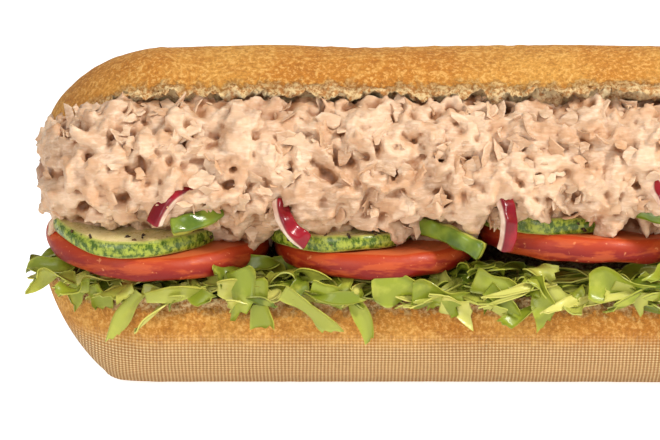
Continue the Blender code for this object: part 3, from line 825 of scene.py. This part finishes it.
def ribbon(start, heading, length, width, droop, ruffle, curl, seed, roll=None):
    """A strip with some thickness, as points and quads, with how far across it each point is."""
    steps, across = RIBBON_STEPS, RIBBON_ACROSS
    t = np.linspace(0, 1, steps + 1)
    yaw = heading + curl * (t - 0.5) * 2 + (0.35 if roll is None else 0.15) * np.sin(t * 5 + seed)
    pitch = droop[0] + (droop[1] - droop[0]) * t**1.3
    ahead = np.stack([np.cos(yaw) * np.cos(pitch), np.sin(yaw) * np.cos(pitch), np.sin(pitch)], -1)
    spine = start + np.concatenate([[[0, 0, 0]], np.cumsum((ahead[1:] + ahead[:-1]) / 2, 0)]) * length / steps
    side = np.cross(ahead, [0, 0, 1.0])
    side /= np.linalg.norm(side, axis=1)[:, None] + 1e-9
    if roll is None:
        roll = 0.7 * np.sin(t * 4 + seed * 1.7) + 0.5 * np.sin(seed * 3.1)
    else:
        roll = roll + 0.25 * np.sin(t * 4 + seed * 1.7)
    over = np.cross(side, ahead)
    side, over = (
        side * np.cos(roll)[:, None] + over * np.sin(roll)[:, None],
        over * np.cos(roll)[:, None] - side * np.sin(roll)[:, None],
    )
    u = np.linspace(-1, 1, across + 1)
    taper = (0.85 + 0.15 * np.minimum(t * 12, 1)) * (1 + 0.2 * np.sin(t * 7 + seed))
    phase = t[:, None] * length / (2.6 * MM) + seed * 2 + u * 0.9
    wave = ruffle * (np.arcsin(np.sin(phase)) * 0.6) * np.abs(u) ** 0.8
    cup = 0.5 * width * (np.abs(u) - 0.5)[None, :] * math.sin(seed * 2.3) * 0.5
    middle = spine[:, None, :] + side[:, None, :] * (u[None, :, None] * (width / 2 * taper)[:, None, None])
    middle = middle + over[:, None, :] * (wave + cup)[..., None]
    slant = u[None, :] * width * 0.45 * math.sin(seed * 1.9) * np.clip((t - 0.6) / 0.4, 0, 1)[:, None] ** 2
    torn_end = 0.12 * width * np.sin(u * 7 + seed)[None, :] * (t[:, None] > 0.96)
    middle = middle + ahead[:, None, :] * (slant + torn_end)[..., None]
    thick = 0.22 * MM
    top = (middle + over[:, None, :] * thick).reshape(-1, 3)
    bottom = (middle - over[:, None, :] * thick).reshape(-1, 3)
    n = across + 1
    faces = grid(steps + 1, n, False)
    count = len(top)
    quads = [faces, faces[:, ::-1] + count]
    k = np.arange(steps)
    for column in (0, across):
        a, b = k * n + column, (k + 1) * n + column
        edge = np.stack([a, b, b + count, a + count], -1)
        quads.append(edge if column else edge[:, ::-1])
    j = np.arange(across)
    for row in (0, steps):
        a, b = row * n + j, row * n + j + 1
        edge = np.stack([a, b, b + count, a + count], -1)
        quads.append(edge[:, ::-1] if row else edge)
    u_all = np.tile(np.broadcast_to(u, middle.shape[:2]).ravel(), 2)
    return np.concatenate([top, bottom]), np.concatenate(quads), u_all


def lettuce_look():
    """Pale yellow-green midribs to mid green leaf; the thin edges are painted paler, as light shining through
    them.
    """
    look = Look("lettuce", roughness=0.4, scatter=0.0, coat=0.15)
    tint, across = look.attribute("tint"), look.attribute("across")
    vein = look.noise(3 * MM, 4)
    fine = look.noise(1.1 * MM, 4)
    leaf = tint.between(0.0, 0.6).mix(srgb(206, 200, 104), srgb(142, 152, 40))
    leaf = tint.between(0.55, 1.0).mix(leaf, srgb(92, 108, 22))
    leaf = (vein.between(0.5, 0.7) * 0.5).mix(leaf, srgb(184, 184, 72))
    # Painted light: the leaf's thin edges are paler, as if lit through.
    leaf = (across.magnitude().between(0.8, 1.0) * 0.3).mix(leaf, srgb(196, 190, 84))
    look.colour(leaf)
    look.finish(0.5 - fine * 0.25)
    look.bump(fine * 0.5 + vein * 0.5, 0.3 * MM)
    return look


def front_line(x):
    """Y of the roll's front edge, where shreds fold over it."""
    return -HALF_WIDTH * fullness(x, HALF_LENGTH, END_REACH, END_POWER)


shreds = []


def shred(x, y, z, heading, length, width, droop, ruffle, curl, tint, seed, roll=None):
    """Adds one ribbon, given in millimetres and degrees, and draws in what would leave the solids' bounds."""
    spot, turn, fall = np.array([x, y, z]) * MM, math.radians(heading), np.radians(droop)
    points, quads, u = ribbon(spot, turn, length * MM, width * MM, fall, ruffle * MM, curl, seed, roll)
    beyond = np.maximum(np.abs(points[:, 0]) - 146 * MM, 0)
    points[:, 0] -= np.sign(points[:, 0]) * beyond * 0.75
    points[:, 1] += np.maximum(-42.5 * MM - points[:, 1], 0) * 0.75
    shreds.append((points + SHIFT, quads, u, np.full(len(u), tint)))


for k in range(300):
    # Loose filling: laid every way, mostly along the roll, reaching the mouth and the rounded ends.
    x = random.uniform(-138, 138)
    line = front_line(x * MM) / MM
    y = random.uniform(line - 2.5, line + 16)
    level = float(cut_height(y * MM)) / MM + random.uniform(0.6, 5.0)
    heading = random.choice([0, 180]) + random.normal(0, 28)
    droop = (random.uniform(-18, 8), random.uniform(-35, 6))
    reach = random.uniform(12, 30) if abs(x) < 112 else random.uniform(8, 14)
    width, ruffle, curl = random.uniform(2.6, 5.6), random.uniform(0.3, 1.1), random.normal(0, 0.5)
    shred(x, y, level, heading, reach, width, droop, ruffle, curl, random.uniform(0, 1), k)
for k in range(100):
    # Fringe: gathers in clumps, starts inside and folds down over the front edge and round both tips.
    x = random.uniform(-137, 137)
    if noise.noise(Vector((x / 9, 2.2, 0))) < -0.05:
        continue
    line = front_line(x * MM) / MM
    tip = max(0, (abs(x) - 109) / 34)
    heading = -90 + math.copysign(tip * 80, x) + random.normal(0, 32)
    droop = (random.uniform(-10, 15), random.uniform(-85, -30))
    y, z = line + random.uniform(0, 5), 30.5 + random.uniform(0, 3.5)
    length, width = random.uniform(5, 9.5), random.uniform(3, 6.5)
    ruffle, curl, tint = random.uniform(0.3, 1.3), random.normal(0, 0.4), random.uniform(0.1, 1)
    shred(x, y, z, heading, length, width, droop, ruffle, curl, tint, 500 + k)
# Shreds that reach past the tips: where each starts, its heading, length, width and tint.
TIP_SHREDS = [
    (-133, -24, 35, 184, 15, 5, 0.7), (-132, -30, 33, 197, 14, 5.5, 0.4), (-134, -16, 35.5, 172, 14.5, 4.5, 0.85),
    (-128, -34, 31, 212, 11, 6, 0.6), (-136, -8, 34, 186, 10, 6, 0.7), (134, -22, 34, -6, 14, 5, 0.5),
    (131, -31, 32, -24, 13, 6, 0.7), (136, -10, 34, 5, 12, 6, 0.4),
]
for k, (x0, y0, z0, heading, length, width, tint) in enumerate(TIP_SHREDS):
    shred(x0, y0, z0, heading, length, width, (6, -24), 1.0, 0.2, tint, 850 + k)
for k in range(32):
    # Where two slices meet, shreds are pushed up into the gap between them.
    gap = (-79, -17, 41, 92)[k % 4]
    spot = (gap + random.normal(0, 7), random.uniform(-36, -24), random.uniform(33, 36.5))
    heading = random.choice([0, 180]) + random.normal(0, 30)
    length, width = random.uniform(8, 14), random.uniform(4, 6.5)
    shred(*spot, heading, length, width, (12, -30), 0.8, 0.3, random.uniform(0.3, 1), 700 + k)
# Larger pieces that hang in front: where each starts, where it ends, its width, tint and crumpling.
HANGING_SHREDS = [
    (-130, 31, -134, 25.5, 6, 0.6, 0.6), (-127, 31, -124, 24.5, 5, 0.5, 0.8),
    (-113.5, 30, -121, 17.5, 4.6, 0.4, 0.3), (-112, 29, -95.5, 30.2, 4.4, 0.35, 0.5),
    (-92, 32, -82, 30, 6, 0.2, 0.8), (-87, 37, -84.5, 25, 8, 0.7, 1.0),
    (-82, 34, -79.5, 20.5, 6.4, 0.5, 0.6), (-74, 30.5, -60, 19.5, 4.6, 0.4, 0.5),
    (-66, 32, -57, 28, 5, 0.55, 0.8), (-56, 31.5, -49.5, 17, 4.2, 0.45, 0.3),
    (-49, 31, -34, 29.5, 8.5, 0.62, 1.5), (-38, 30, -24.5, 27, 8, 0.7, 1.4),
    (-30, 27.5, -21.5, 24.5, 6.2, 0.15, 1.0), (-21, 34, -11.5, 29, 7.5, 0.5, 0.9),
    (-17, 32, -10, 24.5, 5, 0.7, 0.6), (-3.5, 35, -1, 21.5, 6, 0.5, 0.6), (-2, 30, 5, 27, 6, 0.3, 0.8),
    (11, 33, 25, 31, 8.5, 0.6, 1.4), (18, 33, 27, 27, 6, 0.3, 0.8), (36, 33, 41, 22, 5, 0.4, 0.6),
    (50, 31, 65, 28, 7.5, 0.6, 1.3), (76, 32, 83, 20, 5, 0.2, 0.4), (92, 33, 104, 29, 7.5, 0.55, 1.2),
    (109, 31, 116, 19, 5, 0.4, 0.4), (122, 32, 130, 26.5, 6.5, 0.6, 0.9),
]
for k, (x0, z0, x1, z1, width, tint, ruffle) in enumerate(HANGING_SHREDS):
    y = front_line((x0 + x1) / 2 * MM) / MM - 4.2 + 0.6 * math.sin(k * 2.1)
    heading, roll = (0, math.pi / 2 - 0.35) if x1 > x0 else (180, 0.35 - math.pi / 2)
    pitch = math.degrees(math.atan2(z1 - z0, abs(x1 - x0)))
    length = math.hypot(x1 - x0, z1 - z0)
    fall = (pitch + 8, pitch - 10)
    shred(x0, y, z0, heading, length, width, fall, ruffle, 0.1, tint, 900 + k, roll)

start, verts, faces = 0, [], []
for points, quads, *_ in shreds:
    verts.append(points)
    faces.append(quads + start)
    start += len(points)
lettuce = mesh_object(
    "lettuce_shreds_loose",
    np.concatenate(verts),
    np.concatenate(faces),
    lettuce_look(),
    {
        "across": np.concatenate([s[2] for s in shreds]),
        "tint": np.concatenate([s[3] for s in shreds]),
    },
)
# The cut edges are crisp: the quads after each ribbon's two broad faces are its rims.
broad_faces = 2 * RIBBON_STEPS * RIBBON_ACROSS
broad = np.concatenate([np.arange(len(s[1])) < broad_faces for s in shreds])
lettuce.data.polygons.foreach_set("use_smooth", broad)
place(lettuce, ["lettuce_shreds"])

# ---------------------------------------------------------------- Ground pepper
# Coarse dark grains cling to the cucumber and tomato slices, most of them near the front.
grain_points, grain_faces = chunk(3.3)
verts, faces = [], []
for k, (x0, y0, radius) in enumerate(CUCUMBERS * MM):
    for n in range(16):
        angle = random.uniform(1.12, 1.88) * np.pi
        reach = radius - random.gamma(1.5, 1.4) * MM
        x, y = x0 + reach * math.cos(angle), y0 + reach * math.sin(angle)
        top = bed_height(x, y) + tomato_lift(k, x) + TOMATO_THICKNESS + CUCUMBER_THICKNESS + 0.6 * MM
        if n % 4 == 3:
            x, y = x0 + (radius + 0.2 * MM) * math.cos(angle), y0 + (radius + 0.2 * MM) * math.sin(angle)
            top -= random.uniform(1.5, 3.5) * MM
        size = min(0.22 + random.gamma(1.5, 0.18), 0.8) * MM
        spin = random.uniform(0, 6.28)
        turn = np.array(Matrix.Rotation(spin, 3, Vector(random.normal(0, 1, 3)).normalized()))
        verts.append((grain_points * [size, size * 0.7, size * 0.5]) @ turn.T + [x, y, top])
        faces.append(grain_faces + len(grain_points) * (len(verts) - 1))
speck = Look("ground_pepper", roughness=0.6)
speck.colour(speck.noise(0.4 * MM, 2).between(0.45, 0.6).mix(srgb(34, 22, 12), srgb(96, 66, 36)))
specks = mesh_object("ground_pepper", np.concatenate(verts) + SHIFT, np.concatenate(faces), speck)
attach(specks, "root")

# ---------------------------------------------------------------- Camera, light and backdrop
# A long lens a little above the table; a broad key from the upper right, a soft fill and a white surround.
target = Vector((-0.0608, -0.0315, 0.0502))
camera = bpy.data.objects.new("camera", bpy.data.cameras.new("camera"))
camera.data.lens, camera.data.sensor_width = 200, 36
elevation = math.radians(10)
away = Vector((0, -math.cos(elevation), math.sin(elevation)))
camera.location = target + away * 1.0185
camera.rotation_euler = (-away).to_track_quat("-Z", "Y").to_euler()
bpy.context.scene.collection.objects.link(camera)
bpy.context.scene.camera = camera


def area_light(name, place_at, aim, size, power, colour=(1, 1, 1)):
    data = bpy.data.lights.new(name, "AREA")
    data.shape, data.size, data.size_y = "RECTANGLE", size[0], size[1]
    data.energy, data.color = power, colour
    obj = bpy.data.objects.new(name, data)
    obj.location = place_at
    obj.rotation_euler = (Vector(aim) - Vector(place_at)).to_track_quat("-Z", "Y").to_euler()
    bpy.context.scene.collection.objects.link(obj)


area_light("key", (0.5, -0.45, 0.75), (-0.03, 0, 0.05), (0.22, 0.22), 8.4, (1, 0.97, 0.92))
area_light("fill", (-0.5, -0.9, 0.4), (-0.03, 0, 0.05), (0.8, 0.5), 4.2)

world = bpy.data.worlds.new("world")
bpy.context.scene.world = world
world.use_nodes = True
tree = world.node_tree
path = tree.nodes.new("ShaderNodeLightPath")
seen = Value(tree, path.outputs["Is Camera Ray"])
tree.links.new(seen.mix((0.85, 0.87, 0.9, 1), (1, 1, 1, 1)).socket, tree.nodes["Background"].inputs["Color"])
strength = seen * 0.5 + 0.5
tree.links.new(strength.socket, tree.nodes["Background"].inputs["Strength"])

floor = Look("white_table", roughness=0.9)
floor.shader.inputs["Base Color"].default_value = (0.7, 0.7, 0.7, 1)
path = floor.tree.nodes.new("ShaderNodeLightPath")
seen = Value(floor.tree, path.outputs["Is Camera Ray"])
glow = seen.mix((0.5, 0.49, 0.47, 1), (0.86, 0.86, 0.86, 1))
floor.tree.links.new(glow.socket, floor.shader.inputs["Emission Color"])
floor.shader.inputs["Emission Strength"].default_value = 1.0
side = 6.0
corners = [(-side, -side, -0.0002), (side, -side, -0.0002), (side, side, -0.0002), (-side, side, -0.0002)]
mesh_object("table", corners, [(0, 1, 2, 3)], floor)

bpy.context.scene.view_settings.view_transform = "Standard"
